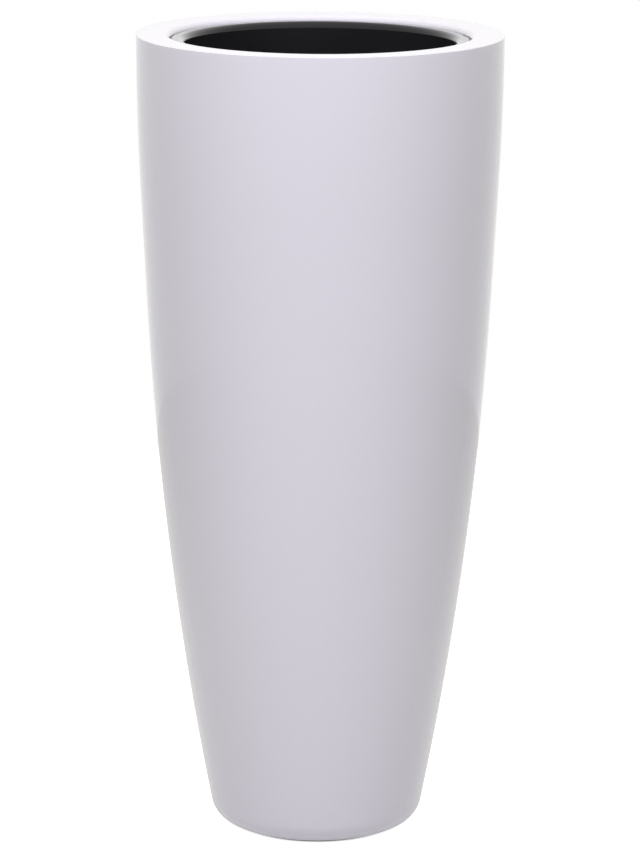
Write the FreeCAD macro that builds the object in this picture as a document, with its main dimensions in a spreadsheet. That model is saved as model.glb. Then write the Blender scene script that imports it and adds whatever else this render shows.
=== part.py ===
import FreeCAD, Part
import math
import os
import Sketcher

# Tall round planter in glass-fibre laminate: a one-piece tapering shell, a stepped rim ring
# bonded into its mouth, a lift-out liner whose flange drops into the step, two drain bungs
# and four foot pads.  Millimetres, +Z up, origin on the floor in the middle of the foot.

DRIVING_SIZES = [
    # outline of the shell
    ("total_height", 750.0, "floor to the flat top of the rim"),
    ("rim_radius", 169.0, "outside of the rim, the widest place"),
    ("base_radius", 95.6, "side carried down to the underside, before its rounding"),
    ("shoulder_bow", 2700.0, "radius of the long arc that leaves the rim upright"),
    ("flank_taper", 3.03, "degrees from upright of the straight flank"),
    ("flank_length", 102.0, "straight flank between the upper and the lower arc"),
    ("bottom_edge_radius", 24.0, "rolled lower edge"),
    ("top_edge_radius", 1.0, "softened outer edge of the rim"),
    # laminate
    ("shell_wall", 4.0, "side wall"),
    ("base_thickness", 8.0, "floor of the shell"),
    ("floor_bevel", 14.0, "built-up corner between wall and floor, inside"),
    ("base_recess_depth", 3.0, "hollow of the underside inside the foot ring"),
    # rim ring
    ("rim_width", 31.3, "flat top, outside edge to mouth"),
    ("rim_thickness", 4.0, "laminate of the rim ring"),
    ("rim_skirt_length", 25.0, "outer skirt that is bonded to the wall"),
    ("rim_bond_line", 0.3, "adhesive between skirt and wall"),
    ("ledge_lip_drop", 9.0, "collar turned down from the ledge"),
    ("mouth_bevel", 2.4, "softened edge of the mouth"),
    # liner
    ("flange_step", 4.4, "liner flange below the rim's top"),
    ("flange_gap", 1.2, "gap round the flange"),
    ("flange_width", 6.0, "flat part of the flange"),
    ("flange_bevel", 0.8, "broken outer edge of the flange"),
    ("shoulder_roll", 6.0, "rolled edge from flange to liner wall"),
    ("seat_gap", 0.3, "flange above its ledge"),
    ("lip_clearance", 0.8, "ledge bore outside the start of the roll"),
    ("liner_wall", 2.8, "moulded wall of the liner"),
    ("liner_depth", 250.0, "flange top to liner floor"),
    ("liner_draft", 3.0, "degrees of draft of the liner wall"),
    ("liner_foot_bevel", 6.0, "inside corner between wall and floor of the liner"),
    ("notch_depth", 2.4, "lifting notch in the flange edge"),
    ("notch_radius", 27.0, "radius of the notch's scallop"),
    ("notch_bearing", 10.6, "degrees from +X towards +Y of the first notch"),
    ("rib_height", 4.0, "drainage rib on the liner floor"),
    ("rib_width", 3.0, "drainage rib"),
    ("rib_hub_clearance", 12.0, "rib start outside the bung's head"),
    # drain bungs and pads
    ("drain_hole_radius", 8.0, "drain holes of shell and liner"),
    ("bung_clearance", 0.3, "bung stem in its hole"),
    ("bung_seat_gap", 0.3, "bung head over the floor it closes"),
    ("bung_head_overlap", 4.0, "head beyond the hole"),
    ("bung_head_thickness", 3.0, "head of the bung"),
    ("bung_bevel", 1.2, "bevelled edge of the head"),
    ("bung_tail", 3.0, "stem below the thinned floor of the shell"),
    ("bung_wall", 2.0, "rubber round the hollow stem"),
    ("pad_radius", 10.0, "foot pad"),
    ("pad_thickness", 2.0, "foot pad, under the shell"),
    ("pad_margin", 2.5, "pad inside the edges of the foot ring"),
    ("pad_bearing", 45.0, "degrees from +X of the first pad"),
]

# Values worked out from the driving sizes.  Heights of the shell count from its underside,
# those of the ring from its top and those of the liner from the underside of its flange.
FITTED_SIZES = [
    ("shell_height", "Sizes.total_height - Sizes.pad_thickness"),
    ("bow_centre_radius", "Sizes.rim_radius - Sizes.shoulder_bow"),
    ("flank_top_radius", "bow_centre_radius + Sizes.shoulder_bow * cos(Sizes.flank_taper * 1 deg)"),
    ("flank_top_height", "shell_height - Sizes.shoulder_bow * sin(Sizes.flank_taper * 1 deg)"),
    ("flank_foot_radius", "flank_top_radius - Sizes.flank_length * sin(Sizes.flank_taper * 1 deg)"),
    ("flank_foot_height", "flank_top_height - Sizes.flank_length * cos(Sizes.flank_taper * 1 deg)"),
    ("lower_bow_span_sq", "(flank_foot_radius - Sizes.base_radius) ^ 2 + flank_foot_height ^ 2"),
    ("lower_bow_rise", "(flank_foot_radius - Sizes.base_radius) * cos(Sizes.flank_taper * 1 deg)"
                       " - flank_foot_height * sin(Sizes.flank_taper * 1 deg)"),
    ("lower_bow", "lower_bow_span_sq / (2 * lower_bow_rise)"),
    ("lower_centre_radius", "flank_foot_radius - lower_bow * cos(Sizes.flank_taper * 1 deg)"),
    ("lower_centre_height", "flank_foot_height + lower_bow * sin(Sizes.flank_taper * 1 deg)"),
    ("inner_mouth_radius", "Sizes.rim_radius - Sizes.shell_wall"),
    ("collar_height", "shell_height - Sizes.rim_skirt_length - Sizes.shell_wall"),
    ("collar_radius", "bow_centre_radius + sqrt((Sizes.shoulder_bow - Sizes.shell_wall) ^ 2"
                      " - (shell_height - collar_height) ^ 2)"),
    ("inner_flank_top_radius", "flank_top_radius - Sizes.shell_wall * cos(Sizes.flank_taper * 1 deg)"),
    ("inner_flank_top_height", "flank_top_height + Sizes.shell_wall * sin(Sizes.flank_taper * 1 deg)"),
    ("inner_flank_foot_radius", "flank_foot_radius - Sizes.shell_wall * cos(Sizes.flank_taper * 1 deg)"),
    ("inner_flank_foot_height", "flank_foot_height + Sizes.shell_wall * sin(Sizes.flank_taper * 1 deg)"),
    ("inner_bow_sq", "(lower_bow - Sizes.shell_wall) ^ 2"),
    ("inner_corner_height", "Sizes.base_thickness + Sizes.floor_bevel"),
    ("upper_knee_height", "(2 * inner_flank_foot_height + inner_corner_height) / 3"),
    ("lower_knee_height", "(inner_flank_foot_height + 2 * inner_corner_height) / 3"),
    ("upper_knee_radius", "lower_centre_radius"
                          " + sqrt(inner_bow_sq - (lower_centre_height - upper_knee_height) ^ 2)"),
    ("lower_knee_radius", "lower_centre_radius"
                          " + sqrt(inner_bow_sq - (lower_centre_height - lower_knee_height) ^ 2)"),
    ("inner_corner_radius", "lower_centre_radius"
                            " + sqrt(inner_bow_sq - (lower_centre_height - inner_corner_height) ^ 2)"),
    ("inner_floor_radius", "inner_corner_radius - Sizes.floor_bevel"),
    ("pad_circle_radius", "Sizes.base_radius - Sizes.bottom_edge_radius - Sizes.pad_margin"
                          " - Sizes.pad_radius"),
    ("base_recess_radius", "pad_circle_radius - Sizes.pad_radius - Sizes.pad_margin"),
    ("mouth_radius", "Sizes.rim_radius - Sizes.rim_width"),
    ("ring_outer_radius", "inner_mouth_radius - Sizes.rim_bond_line"),
    ("ring_skirt_inner_radius", "ring_outer_radius - Sizes.rim_thickness"),
    ("ring_step_back_radius", "mouth_radius + Sizes.rim_thickness"),
    ("flange_radius", "mouth_radius - Sizes.flange_gap"),
    ("liner_mouth_radius", "flange_radius - Sizes.flange_width - Sizes.shoulder_roll"),
    ("ledge_bore_radius", "liner_mouth_radius + Sizes.shoulder_roll + Sizes.lip_clearance"),
    ("lip_back_radius", "ledge_bore_radius + Sizes.rim_thickness"),
    ("ledge_height", "-(Sizes.flange_step + Sizes.liner_wall + Sizes.seat_gap)"),
    ("ledge_back_height", "ledge_height - Sizes.rim_thickness"),
    ("lip_foot_height", "ledge_back_height - Sizes.ledge_lip_drop"),
    ("ring_back_height", "-Sizes.rim_thickness"),
    ("skirt_foot_height", "-Sizes.rim_skirt_length"),
    ("liner_seat_height", "Sizes.total_height - Sizes.flange_step - Sizes.liner_wall"),
    ("liner_floor_height", "Sizes.liner_wall - Sizes.liner_depth"),
    ("liner_underside_height", "liner_floor_height - Sizes.liner_wall"),
    ("liner_floor_radius", "liner_mouth_radius - Sizes.liner_depth * tan(Sizes.liner_draft * 1 deg)"),
    ("liner_skin_width", "Sizes.liner_wall / cos(Sizes.liner_draft * 1 deg)"),
    ("liner_neck_radius", "liner_mouth_radius + liner_skin_width"
                          " - Sizes.liner_wall * tan(Sizes.liner_draft * 1 deg)"),
    ("liner_underside_radius", "liner_neck_radius + liner_underside_height"
                               " * tan(Sizes.liner_draft * 1 deg)"),
    ("liner_heel_bevel", "Sizes.liner_foot_bevel + Sizes.liner_wall * (2 - sqrt(2))"),
    ("neck_bevel", "(Sizes.shoulder_roll - Sizes.liner_wall) * (2 - sqrt(2))"),
    ("notch_centre_radius", "flange_radius - Sizes.notch_depth + Sizes.notch_radius"),
    ("bung_head_radius", "Sizes.drain_hole_radius + Sizes.bung_head_overlap"),
    ("bung_stem_radius", "Sizes.drain_hole_radius - Sizes.bung_clearance"),
    ("bung_hollow_radius", "bung_stem_radius - Sizes.bung_wall"),
    ("bung_stem_length", "Sizes.base_thickness - Sizes.base_recess_depth + Sizes.bung_tail"
                         " + Sizes.bung_seat_gap"),
    ("bung_tip_height", "-bung_stem_length"),
    ("rib_start_radius", "bung_head_radius + Sizes.rib_hub_clearance"),
    ("rib_end_radius", "liner_floor_radius - Sizes.liner_foot_bevel"),
    ("rib_near_side", "-Sizes.rib_width / 2"),
    ("rib_far_side", "Sizes.rib_width / 2"),
    ("liner_bung_height", "liner_seat_height + liner_floor_height + Sizes.bung_seat_gap"),
    ("base_bung_height", "Sizes.pad_thickness + Sizes.base_thickness + Sizes.bung_seat_gap"),
]

PAD_COUNT = 4
RIB_COUNT = 6
NOTCH_COUNT = 2
FULL_TURN = 360.0
PLACE_TOLERANCE = 0.01
UPRIGHT = FreeCAD.Vector(0, 0, 1)
SIZE_OF = {"Fillet": "Radius", "Chamfer": "Size"}

doc = FreeCAD.newDocument("tall_planter")


def make_sheet(name, rows, mark):
    """Write one row for each size: its name, its value or formula, and a note."""
    sheet = doc.addObject("Spreadsheet::Sheet", name)
    for row, entry in enumerate(rows, start=1):
        sheet.set(f"A{row}", entry[0])
        sheet.set(f"B{row}", f"{mark}{entry[1]}")
        sheet.setAlias(f"B{row}", entry[0])
        if len(entry) > 2:
            sheet.set(f"C{row}", entry[2])
    doc.recompute()
    return sheet


sizes = make_sheet("Sizes", DRIVING_SIZES, "")
fits = make_sheet("Fits", FITTED_SIZES, "=")
DRIVING_NAMES = {entry[0] for entry in DRIVING_SIZES}


def value(name):
    """The number that a named size holds now; 0 is the axis or the local zero plane."""
    if name == "0":
        return 0.0
    held = (sizes if name in DRIVING_NAMES else fits).get(name)
    return float(getattr(held, "Value", held))


def cell(name):
    """The expression that reads a named size."""
    return f"Sizes.{name}" if name in DRIVING_NAMES else f"Fits.{name}"


def make_body(name, height=None):
    """A body with its own label, lifted to its height by an expression."""
    body = doc.addObject("PartDesign::Body", name)
    body.Label = name
    if height:
        body.Placement = FreeCAD.Placement(FreeCAD.Vector(0, 0, value(height)), FreeCAD.Rotation())
        body.setExpression("Placement.Base.z", cell(height))
    return body


def make_sketch(body, name, role, lift=None, bearing=None):
    """A sketch on one of the body's own origin planes, lifted or turned where a size says so."""
    sketch = body.newObject("Sketcher::SketchObject", name)
    plane = [item for item in body.Origin.OriginFeatures if item.Role == role][0]
    sketch.AttachmentSupport = [(plane, "")]
    sketch.MapMode = "FlatFace"
    if lift:
        sketch.setExpression("AttachmentOffset.Base.z", cell(lift))
    if bearing:
        sketch.setExpression("AttachmentOffset.Rotation.Angle", cell(bearing) + " * 1 deg")
    doc.recompute()
    return sketch


def bind(sketch, constraint, expression):
    """Add a dimension to a sketch and let the sheets drive it."""
    index = sketch.addConstraint(constraint)
    sketch.setExpression(f"Constraints[{index}]", expression)


def pin_point(sketch, geometry, end, radius_name, height_name):
    """Hold one point at a named radius and a named height; 0 puts it on that axis."""
    for kind, name, axis in (("DistanceX", radius_name, -2), ("DistanceY", height_name, -1)):
        if name == "0":
            sketch.addConstraint(Sketcher.Constraint("PointOnObject", geometry, end, axis))
        else:
            bind(sketch, Sketcher.Constraint(kind, -1, 1, geometry, end, value(name)), cell(name))


def draw_run(sketch, corners, closed=False):
    """Straight lines through corners given as (radius, height) names, joined end to end."""
    points = [FreeCAD.Vector(value(radius), value(height), 0) for radius, height in corners]
    if closed:
        points.append(points[0])
    lines = [sketch.addGeometry(Part.LineSegment(start, end), False)
             for start, end in zip(points, points[1:])]
    for line, follower in zip(lines, lines[1:]):
        sketch.addConstraint(Sketcher.Constraint("Coincident", line, 2, follower, 1))
    return lines


def draw_outline(sketch, corners):
    """A closed outline of straight lines, every corner held by the sheets."""
    lines = draw_run(sketch, corners, closed=True)
    sketch.addConstraint(Sketcher.Constraint("Coincident", lines[-1], 2, lines[0], 1))
    for line, corner in zip(lines, corners):
        pin_point(sketch, line, 1, *corner)


def draw_circle(sketch, radius_name, centre_name="0"):
    """A circle of a named radius, centred on the axis or out along the sketch's own X."""
    centre = FreeCAD.Vector(value(centre_name), 0, 0)
    circle = sketch.addGeometry(Part.Circle(centre, UPRIGHT, value(radius_name)), False)
    pin_point(sketch, circle, 3, centre_name, "0")
    bind(sketch, Sketcher.Constraint("Radius", circle, value(radius_name)), cell(radius_name))


def revolve(body, sketch, name):
    """Turn the sketch once round the upright axis."""
    feature = body.newObject("PartDesign::Revolution", name)
    feature.Profile = sketch
    feature.ReferenceAxis = (sketch, ["V_Axis"])
    feature.Angle = FULL_TURN
    doc.recompute()
    return feature


def ring_edges(feature, radius_name, height_name):
    """The names of the circular edges of a feature at a named radius and height."""
    found = []
    for index, edge in enumerate(feature.Shape.Edges, start=1):
        if not isinstance(edge.Curve, Part.Circle):
            continue
        same_radius = abs(edge.Curve.Radius - value(radius_name)) < PLACE_TOLERANCE
        same_height = abs(edge.Curve.Center.z - value(height_name)) < PLACE_TOLERANCE
        if same_radius and same_height:
            found.append(f"Edge{index}")
    if not found:
        raise RuntimeError(f"no edge at {radius_name}, {height_name}")
    return found


def dress_edges(body, base, kind, name, size_name, *places):
    """Fillet or chamfer the circular edges at the given (radius, height) places."""
    edges = []
    for place in places:
        edges += ring_edges(base, *place)
    feature = body.newObject(f"PartDesign::{kind}", name)
    feature.Base = (base, edges)
    setattr(feature, SIZE_OF[kind], value(size_name))
    feature.setExpression(SIZE_OF[kind], cell(size_name))
    doc.recompute()
    return feature


def must_shrink(base, feature):
    """A cut that removes nothing points the wrong way."""
    if not feature.Shape.Volume < base.Shape.Volume - PLACE_TOLERANCE:
        raise RuntimeError(f"{feature.Label} cuts nothing")


def raise_pad(body, plan, name, height_name):
    """Raise a plan by a named height."""
    pad = body.newObject("PartDesign::Pad", name)
    pad.Profile = plan
    pad.Length = value(height_name)
    pad.setExpression("Length", cell(height_name))
    doc.recompute()
    return pad


def repeat_round(body, feature, plan, name, count):
    """Repeat a feature evenly round the upright axis."""
    pattern = body.newObject("PartDesign::PolarPattern", name)
    pattern.Originals = [feature]
    pattern.Axis = (plan, ["N_Axis"])
    pattern.Angle = FULL_TURN
    pattern.Occurrences = count
    body.Tip = pattern
    doc.recompute()
    return pattern


def bore_drain(body, base, floor_name):
    """The drain hole, bored down from the floor."""
    centre = make_sketch(body, body.Label + "_drain_centre", "XY_Plane", lift=floor_name)
    draw_circle(centre, "drain_hole_radius")
    doc.recompute()
    hole = body.newObject("PartDesign::Hole", body.Label + "_drain_hole")
    hole.Profile = centre
    hole.DepthType = "ThroughAll"
    hole.Diameter = 2 * value("drain_hole_radius")
    hole.setExpression("Diameter", "2 * " + cell("drain_hole_radius"))
    doc.recompute()
    must_shrink(base, hole)


def draw_arc(sketch, centre, radius_name, start, end):
    """An arc about a centre, anticlockwise between two bearings in radians, its radius held."""
    circle = Part.Circle(centre, UPRIGHT, value(radius_name))
    arc = sketch.addGeometry(Part.ArcOfCircle(circle, start, end), False)
    bind(sketch, Sketcher.Constraint("Radius", arc, value(radius_name)), cell(radius_name))
    return arc


def touching_centre(bow_centre, bow_name, round_name, height):
    """Centre, at a given height, of a rounding that touches a bow from inside."""
    reach = value(bow_name) - value(round_name)
    drop = height - bow_centre.y
    return FreeCAD.Vector(bow_centre.x + math.sqrt(reach ** 2 - drop ** 2), height, 0)


def bearing_of(centre, point):
    return math.atan2(point.y - centre.y, point.x - centre.x)


def draw_shell_outline(sketch):
    """Outside of the shell from rim to foot: softened edge, upper bow, flank, lower bow, roll."""
    taper = math.radians(value("flank_taper"))
    top_height = value("shell_height")
    upper = FreeCAD.Vector(value("bow_centre_radius"), top_height, 0)
    lower = FreeCAD.Vector(value("lower_centre_radius"), value("lower_centre_height"), 0)
    edge_height = top_height - value("top_edge_radius")
    edge_centre = touching_centre(upper, "shoulder_bow", "top_edge_radius", edge_height)
    roll_centre = touching_centre(lower, "lower_bow", "bottom_edge_radius", value("bottom_edge_radius"))
    edge_bearing = bearing_of(upper, edge_centre)
    roll_bearing = bearing_of(lower, roll_centre)
    quarter = math.pi / 2

    flat = Part.LineSegment(FreeCAD.Vector(value("inner_mouth_radius"), top_height, 0),
                            FreeCAD.Vector(edge_centre.x, top_height, 0))
    slope = Part.LineSegment(
        FreeCAD.Vector(value("flank_top_radius"), value("flank_top_height"), 0),
        FreeCAD.Vector(value("flank_foot_radius"), value("flank_foot_height"), 0))
    sole = Part.LineSegment(FreeCAD.Vector(roll_centre.x, 0, 0),
                            FreeCAD.Vector(value("base_recess_radius"), 0, 0))
    rim = sketch.addGeometry(flat, False)
    edge = draw_arc(sketch, edge_centre, "top_edge_radius", edge_bearing, quarter)
    bow = draw_arc(sketch, upper, "shoulder_bow", -taper, edge_bearing)
    flank = sketch.addGeometry(slope, False)
    low = draw_arc(sketch, lower, "lower_bow", roll_bearing, -taper)
    roll = draw_arc(sketch, roll_centre, "bottom_edge_radius", -quarter, roll_bearing)
    foot = sketch.addGeometry(sole, False)

    for line in (rim, foot):
        sketch.addConstraint(Sketcher.Constraint("Horizontal", line))
    for first, first_end, second, second_end in (
            (rim, 2, edge, 2), (edge, 1, bow, 2), (bow, 1, flank, 1),
            (flank, 2, low, 2), (low, 1, roll, 2), (roll, 1, foot, 1)):
        sketch.addConstraint(Sketcher.Constraint("Tangent", first, first_end, second, second_end))
    pin_point(sketch, rim, 1, "inner_mouth_radius", "shell_height")
    pin_point(sketch, bow, 3, "bow_centre_radius", "shell_height")
    pin_point(sketch, flank, 2, "flank_foot_radius", "flank_foot_height")
    pin_point(sketch, foot, 2, "base_recess_radius", "0")
    return rim, foot


def make_body_shell():
    """One-piece shell: tapering side, rolled lower edge, floor with a hollow underside."""
    body = make_body("body_shell", "pad_thickness")
    sketch = make_sketch(body, "shell_profile", "XZ_Plane")
    rim, foot = draw_shell_outline(sketch)
    inside = [("inner_mouth_radius", "shell_height"),
              ("collar_radius", "collar_height"),
              ("inner_flank_top_radius", "inner_flank_top_height"),
              ("inner_flank_foot_radius", "inner_flank_foot_height"),
              ("upper_knee_radius", "upper_knee_height"),
              ("lower_knee_radius", "lower_knee_height"),
              ("inner_corner_radius", "inner_corner_height"),
              ("inner_floor_radius", "base_thickness"),
              ("0", "base_thickness"),
              ("0", "base_recess_depth"),
              ("base_recess_radius", "base_recess_depth"),
              ("base_recess_radius", "0")]
    runs = draw_run(sketch, inside)
    for line, corner in zip(runs[1:], inside[1:]):
        pin_point(sketch, line, 1, *corner)
    sketch.addConstraint(Sketcher.Constraint("Coincident", rim, 1, runs[0], 1))
    sketch.addConstraint(Sketcher.Constraint("Coincident", foot, 2, runs[-1], 2))
    doc.recompute()
    side = revolve(body, sketch, "shell_turn")
    bore_drain(body, side, "base_thickness")
    return body


def make_rim_ring():
    """Stepped ring: flat top, step wall, ledge for the flange, turned-down collar and skirt."""
    body = make_body("rim_ring", "total_height")
    sketch = make_sketch(body, "ring_profile", "XZ_Plane")
    draw_outline(sketch, [
        ("ring_outer_radius", "0"),
        ("mouth_radius", "0"),
        ("mouth_radius", "ledge_height"),
        ("ledge_bore_radius", "ledge_height"),
        ("ledge_bore_radius", "lip_foot_height"),
        ("lip_back_radius", "lip_foot_height"),
        ("lip_back_radius", "ledge_back_height"),
        ("ring_step_back_radius", "ledge_back_height"),
        ("ring_step_back_radius", "ring_back_height"),
        ("ring_skirt_inner_radius", "ring_back_height"),
        ("ring_skirt_inner_radius", "skirt_foot_height"),
        ("ring_outer_radius", "skirt_foot_height"),
    ])
    doc.recompute()
    turned = revolve(body, sketch, "ring_turn")
    dress_edges(body, turned, "Chamfer", "mouth_edge", "mouth_bevel", ("mouth_radius", "0"))
    return body


def make_liner():
    """Drafted liner: flange with rolled shoulder and lifting notches, ribbed floor, drain."""
    body = make_body("liner", "liner_seat_height")
    sketch = make_sketch(body, "liner_profile", "XZ_Plane")
    draw_outline(sketch, [
        ("0", "liner_underside_height"),
        ("liner_underside_radius", "liner_underside_height"),
        ("liner_neck_radius", "0"),
        ("flange_radius", "0"),
        ("flange_radius", "liner_wall"),
        ("liner_mouth_radius", "liner_wall"),
        ("liner_floor_radius", "liner_floor_height"),
        ("0", "liner_floor_height"),
    ])
    doc.recompute()
    turned = revolve(body, sketch, "liner_turn")
    rolled = dress_edges(body, turned, "Fillet", "rolled_shoulder", "shoulder_roll",
                         ("liner_mouth_radius", "liner_wall"))
    necked = dress_edges(body, rolled, "Chamfer", "neck_under_flange", "neck_bevel",
                         ("liner_neck_radius", "0"))
    footed = dress_edges(body, necked, "Chamfer", "liner_foot", "liner_foot_bevel",
                         ("liner_floor_radius", "liner_floor_height"))
    heeled = dress_edges(body, footed, "Chamfer", "liner_heel", "liner_heel_bevel",
                         ("liner_underside_radius", "liner_underside_height"))
    edged = dress_edges(body, heeled, "Chamfer", "flange_edge", "flange_bevel",
                        ("flange_radius", "liner_wall"))

    notch_plan = make_sketch(body, "notch_plan", "XY_Plane", lift="liner_wall", bearing="notch_bearing")
    draw_circle(notch_plan, "notch_radius", "notch_centre_radius")
    doc.recompute()
    notch = body.newObject("PartDesign::Pocket", "lifting_notch")
    notch.Profile = notch_plan
    notch.Length = value("liner_wall")
    notch.setExpression("Length", cell("liner_wall"))
    doc.recompute()
    must_shrink(edged, notch)
    notches = repeat_round(body, notch, notch_plan, "lifting_notches", NOTCH_COUNT)
    must_shrink(notch, notches)

    rib_plan = make_sketch(body, "rib_plan", "XY_Plane", lift="liner_floor_height")
    draw_outline(rib_plan, [
        ("rib_start_radius", "rib_near_side"),
        ("rib_end_radius", "rib_near_side"),
        ("rib_end_radius", "rib_far_side"),
        ("rib_start_radius", "rib_far_side"),
    ])
    rib = raise_pad(body, rib_plan, "drainage_rib", "rib_height")
    ribs = repeat_round(body, rib, rib_plan, "drainage_ribs", RIB_COUNT)
    bore_drain(body, ribs, "liner_floor_height")
    return body


def make_bung(name, height):
    """Mushroom bung: round head that covers the hole, hollow stem through it."""
    body = make_body(name, height)
    sketch = make_sketch(body, name + "_profile", "XZ_Plane")
    draw_outline(sketch, [
        ("0", "0"),
        ("bung_hollow_radius", "0"),
        ("bung_hollow_radius", "bung_tip_height"),
        ("bung_stem_radius", "bung_tip_height"),
        ("bung_stem_radius", "0"),
        ("bung_head_radius", "0"),
        ("bung_head_radius", "bung_head_thickness"),
        ("0", "bung_head_thickness"),
    ])
    turned = revolve(body, sketch, name + "_turn")
    dress_edges(body, turned, "Chamfer", name + "_head_edge", "bung_bevel",
                ("bung_head_radius", "bung_head_thickness"))
    return body


def make_foot_pads():
    """Round pads under the foot ring, one solid each."""
    body = make_body("foot_pads")
    body.AllowCompound = True
    plan = make_sketch(body, "pad_plan", "XY_Plane", bearing="pad_bearing")
    draw_circle(plan, "pad_radius", "pad_circle_radius")
    pad = raise_pad(body, plan, "foot_pad", "pad_thickness")
    repeat_round(body, pad, plan, "pads_round_foot", PAD_COUNT)
    return body


pieces = [
    make_body_shell(),
    make_rim_ring(),
    make_liner(),
    make_bung("liner_bung", "liner_bung_height"),
    make_bung("base_bung", "base_bung_height"),
    make_foot_pads(),
]
doc.recompute()

for item in doc.Objects:
    faults = {"Invalid", "Error"} & set(item.State)
    if faults:
        raise RuntimeError(f"{item.Label}: {', '.join(sorted(faults))}")
for piece in pieces:
    if piece.Shape.isNull() or not piece.Shape.isValid():
        raise RuntimeError(f"{piece.Label}: bad shape")

os.makedirs("parts", exist_ok=True)
for piece in pieces:
    piece.Shape.exportStep(f"parts/{piece.Label}.step")
    box = piece.Shape.optimalBoundingBox(False)
    print(f"{piece.Label}: {len(piece.Shape.Solids)} solid(s), {piece.Shape.Volume / 1000:.1f} cm3, "
          f"z {box.ZMin:.2f} to {box.ZMax:.2f}, reach in X {box.XMax:.2f}")
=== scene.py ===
import bmesh
import bpy
import math
from bpy.props import FloatProperty, FloatVectorProperty, IntProperty, PointerProperty
from mathutils import Matrix, Vector


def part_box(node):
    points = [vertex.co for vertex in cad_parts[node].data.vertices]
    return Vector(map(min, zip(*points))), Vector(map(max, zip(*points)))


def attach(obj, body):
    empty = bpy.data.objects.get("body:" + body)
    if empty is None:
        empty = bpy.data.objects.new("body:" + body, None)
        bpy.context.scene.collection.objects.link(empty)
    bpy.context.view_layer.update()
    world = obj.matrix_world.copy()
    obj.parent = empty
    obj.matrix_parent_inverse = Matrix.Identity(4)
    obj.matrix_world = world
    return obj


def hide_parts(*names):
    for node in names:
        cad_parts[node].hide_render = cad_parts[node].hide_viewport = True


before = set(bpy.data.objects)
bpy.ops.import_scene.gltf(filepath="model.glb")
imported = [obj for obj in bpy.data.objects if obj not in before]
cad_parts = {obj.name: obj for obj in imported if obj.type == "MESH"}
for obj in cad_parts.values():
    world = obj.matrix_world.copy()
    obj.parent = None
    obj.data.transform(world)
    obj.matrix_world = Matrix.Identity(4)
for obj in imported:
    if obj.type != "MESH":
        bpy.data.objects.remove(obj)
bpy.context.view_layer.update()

bl_info = {
    "name": "Tall Round Planter",
    "version": (1, 0, 0),
    "blender": (4, 5, 0),
    "location": "View3D > Sidebar > Planter",
    "description": "Lacquered laminate planter with a lift-out liner, its finishes and its studio",
    "category": "Add Mesh",
}

SHELL_LOW, SHELL_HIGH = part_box("body_shell")
RING_LOW, RING_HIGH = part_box("rim_ring")
_, LINER_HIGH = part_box("liner")
_, PAD_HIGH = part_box("foot_pads")

FULL_TURN = 2 * math.pi
QUARTER = math.pi / 2
SHARP_BEND = math.radians(35)
MERGE_GAP = 1e-6
GUARD = 0.0003      # a point this near to an edge keeps the flat beside it flat in shading
ALL_RAW = 0.99      # a face is raw only where every corner of it is
MISSED = 1e-12      # below this a bearing passes beside the notch's circle
MATERIAL_CHANGE = 0.0001
WHITE = (1.0, 1.0, 1.0)


# ---------------------------------------------------------------- sizes a user would change

def length(name, description, default):
    return FloatProperty(name=name, description=description, default=default, min=0.0,
                         precision=5, unit="LENGTH")


def slope(name, description, degrees):
    return FloatProperty(name=name, description=description, default=math.radians(degrees),
                         subtype="ANGLE", unit="ROTATION")


def tint(name, description, default):
    return FloatVectorProperty(name=name, description=description, default=default, size=3,
                               min=0.0, max=1.0, subtype="COLOR")


def share(name, description, default):
    return FloatProperty(name=name, description=description, default=default, min=0.0,
                         subtype="FACTOR")


def power(name, description, default):
    return FloatProperty(name=name, description=description, default=default, min=0.0,
                         subtype="POWER", unit="POWER")


def count(name, description, default):
    return IntProperty(name=name, description=description, default=default, min=1)


class ShellSizes(bpy.types.PropertyGroup):
    """Sizes of the tapering shell."""
    height: length("Height", "Floor to the flat top of the rim", SHELL_HIGH.z)
    foot: length("Foot", "Underside of the shell above the floor", SHELL_LOW.z)
    rim_radius: length("Rim radius", "Outside of the rim", SHELL_HIGH.x)
    base_radius: length("Base radius", "Side carried down to the underside", 0.0956)
    shoulder_bow: length("Shoulder bow", "Radius of the long arc below the rim", 2.7)
    flank_taper: slope("Flank taper", "Straight flank from upright", 3.03)
    flank_length: length("Flank length", "Straight part between the two bows", 0.102)
    top_edge: length("Rim edge", "Rounding of the rim's outer edge", 0.0004)
    bottom_edge: length("Rolled foot", "Rounding of the lower edge", 0.024)
    wall: length("Wall", "Laminate of the side", 0.004)
    floor: length("Floor", "Laminate of the base", 0.008)
    floor_round: length("Floor rounding", "Inside corner between wall and floor", 0.020)
    recess_radius: length("Recess radius", "Hollow of the underside", 0.0466)
    recess_depth: length("Recess depth", "Depth of that hollow", 0.003)
    drain_radius: length("Drain radius", "Drain hole in the floor", 0.008)
    segments: count("Segments", "Faces round the shell and its rim", 288)


class RimSizes(bpy.types.PropertyGroup):
    """Sizes of the stepped rim ring."""
    outer: length("Outside", "Skirt bonded to the shell", RING_HIGH.x)
    mouth: length("Mouth", "Radius of the step wall", 0.1377)
    mouth_round: length("Mouth edge", "Rolled edge of the mouth", 0.0060)
    # below this depth the step wall is raw, dark laminate: partly the bare laminate, partly
    # painted shade in the gap round the liner's flange
    painted_shade_below: length("Bare below", "The step wall's lacquer ends this far under the top", 0.0061)
    thickness: length("Thickness", "Laminate of the ring", 0.004)
    skirt: length("Skirt", "Depth of the bonded skirt", RING_HIGH.z - RING_LOW.z)
    ledge_drop: length("Ledge", "Ledge below the rim's top", 0.0075)
    ledge_bore: length("Ledge bore", "Opening inside the ledge", 0.1313)
    collar: length("Collar", "Collar turned down from the ledge", 0.009)


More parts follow.
